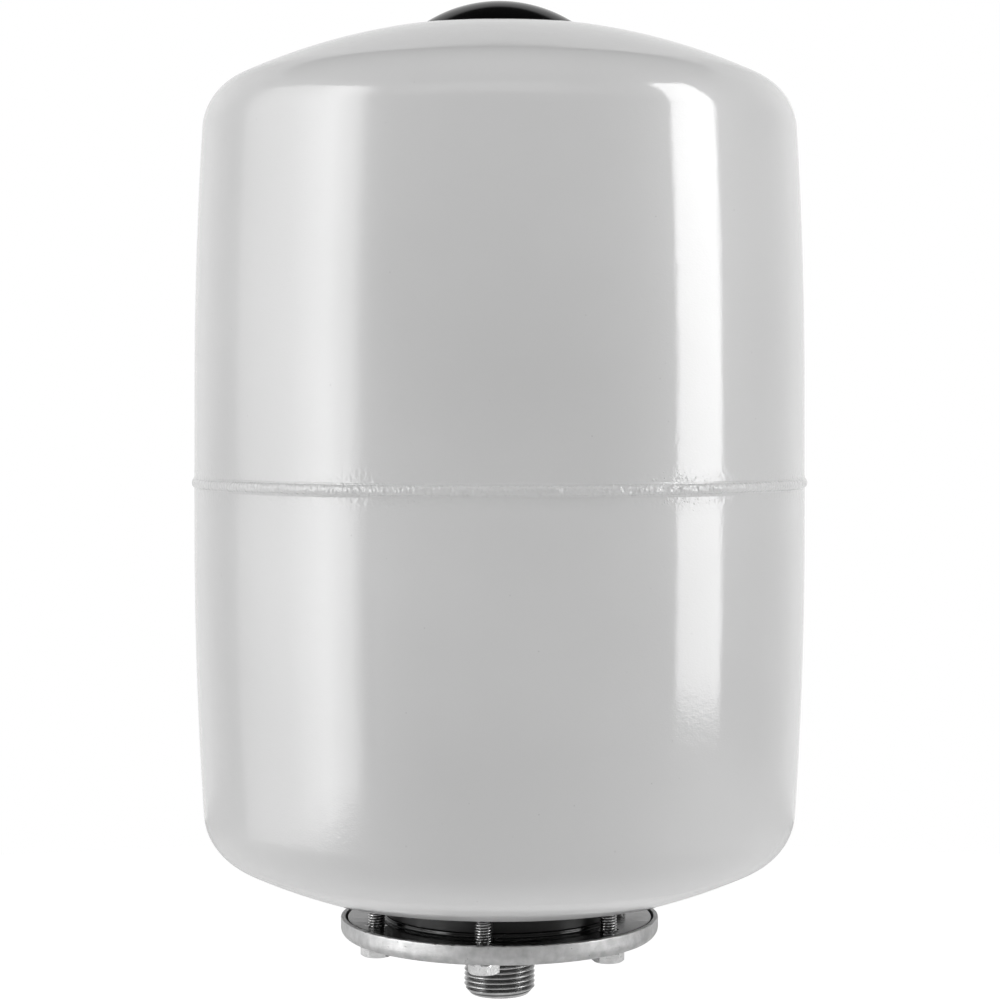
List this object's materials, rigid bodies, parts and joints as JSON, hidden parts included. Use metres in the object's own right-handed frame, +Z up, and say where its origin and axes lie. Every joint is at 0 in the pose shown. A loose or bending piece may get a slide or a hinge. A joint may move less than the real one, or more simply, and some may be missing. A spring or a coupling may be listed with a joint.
{
  "type": "expansion vessel",
  "caption": "Upright welded steel expansion vessel with domed ends, a bolted bottom flange with a threaded pipe nipple, an inner rubber bladder, and an air valve under a push-on cover.",
  "frame": {"origin": "centre of the pipe nipple's free end face", "axes": "+Z up along the vessel's axis, from the nipple to the air valve; the front bolt is near -Y"},
  "size_m": [0.2876, 0.2876, 0.4653],
  "materials": {
    "white_paint": "glossy light grey-white enamel with slight orange peel",
    "black_coat": "glossy black dip coat",
    "zinc": "satin zinc plate with fine pits and burrs",
    "bright_zinc": "bright zinc plate",
    "rubber": "moulded black rubber",
    "brass": "turned brass",
    "spring_steel": "drawn spring wire",
    "black_plastic": "satin moulded black plastic"
  },
  "bodies": {
    "vessel": {"upper_shell": "white_paint", "lower_shell": "white_paint", "seam_weld": "white_paint", "neck": "black_coat", "neck_weld": "black_coat", "threaded_ring": "black_coat", "counterflange": "zinc", "nipple": "zinc", "nipple_weld": "zinc", "flange_bolt_1": "bright_zinc", "flange_bolt_2": "bright_zinc", "flange_bolt_3": "bright_zinc", "flange_bolt_4": "bright_zinc", "flange_bolt_5": "bright_zinc", "flange_bolt_6": "bright_zinc", "valve_socket": "bright_zinc", "socket_weld": "bright_zinc", "bladder": "rubber", "valve_oring": "rubber", "valve_body": "brass", "core_barrel": "brass", "core_spring": "spring_steel"},
    "cover": {"cover": "black_plastic"},
    "dust_cap": {"dust_cap": "black_plastic"},
    "cap_seal": {"dust_cap_seal": "rubber"},
    "pin": {"valve_pin": "brass", "poppet_seal": "rubber"}
  },
  "joints": [
    {"name": "cover_pull", "type": "slide", "parent": "vessel", "child": "cover", "axis": [0, 0, 1], "range_m": [0, 0.04]},
    {"name": "dust_cap_lift", "type": "slide", "parent": "vessel", "child": "cap_seal", "axis": [0, 0, 1], "range_m": [0, 0.003]},
    {"name": "dust_cap_turn", "type": "hinge", "parent": "cap_seal", "child": "dust_cap", "pos_m": [0, 0, 0.4572], "axis": [0, 0, 1], "range_deg": [0, 1361]},
    {"name": "pin_press", "type": "slide", "parent": "vessel", "child": "pin", "axis": [0, 0, -1], "range_m": [0, 0.0012], "stiffness_N_per_m": 1200, "deforming": ["core_spring"]}
  ],
  "couplings": [
    {"joint": "dust_cap_turn", "follows": "dust_cap_lift", "rad_per_m": 7915.8}
  ]
}
